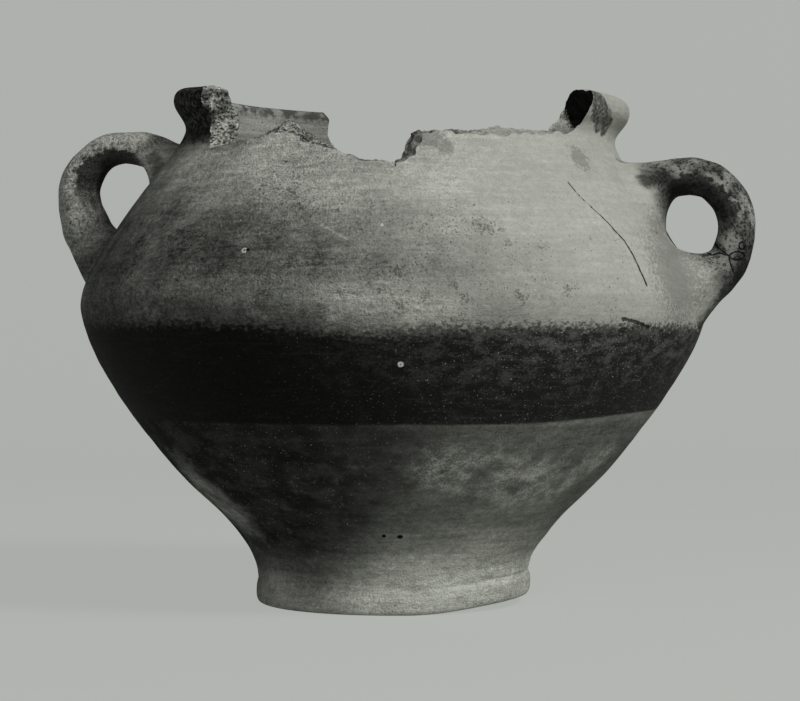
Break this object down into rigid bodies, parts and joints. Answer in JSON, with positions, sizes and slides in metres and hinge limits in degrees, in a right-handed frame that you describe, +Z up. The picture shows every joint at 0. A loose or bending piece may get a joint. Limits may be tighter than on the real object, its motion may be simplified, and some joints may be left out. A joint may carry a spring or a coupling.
{
  "type": "hydria jar",
  "caption": "Squat wide-necked clay water jar with a swelling belly, a low foot, upright loop handles at its sides, a dark painted belly band and a broken neck.",
  "frame": {"origin": "centre of the foot's flat underside, on the jar's axis", "axes": "+Z up along the jar's axis, +X towards the right handle, +Y to the back"},
  "size_m": [0.3604, 0.311, 0.2549],
  "materials": {
    "fired_clay": "matte unglazed clay, worn and gritty",
    "banded_clay": "matte clay with a broad dark slip band",
    "painted_clay": "matte clay under worn dark slip"
  },
  "bodies": {
    "root": {"foot": "fired_clay", "lower_wall": "banded_clay", "shoulder_wall": "fired_clay", "neck_left_sherd": "painted_clay", "neck_right_sherd": "fired_clay", "left_handle": "fired_clay", "right_handle_loop": "fired_clay", "right_handle_root": "fired_clay"}
  },
  "joints": []
}
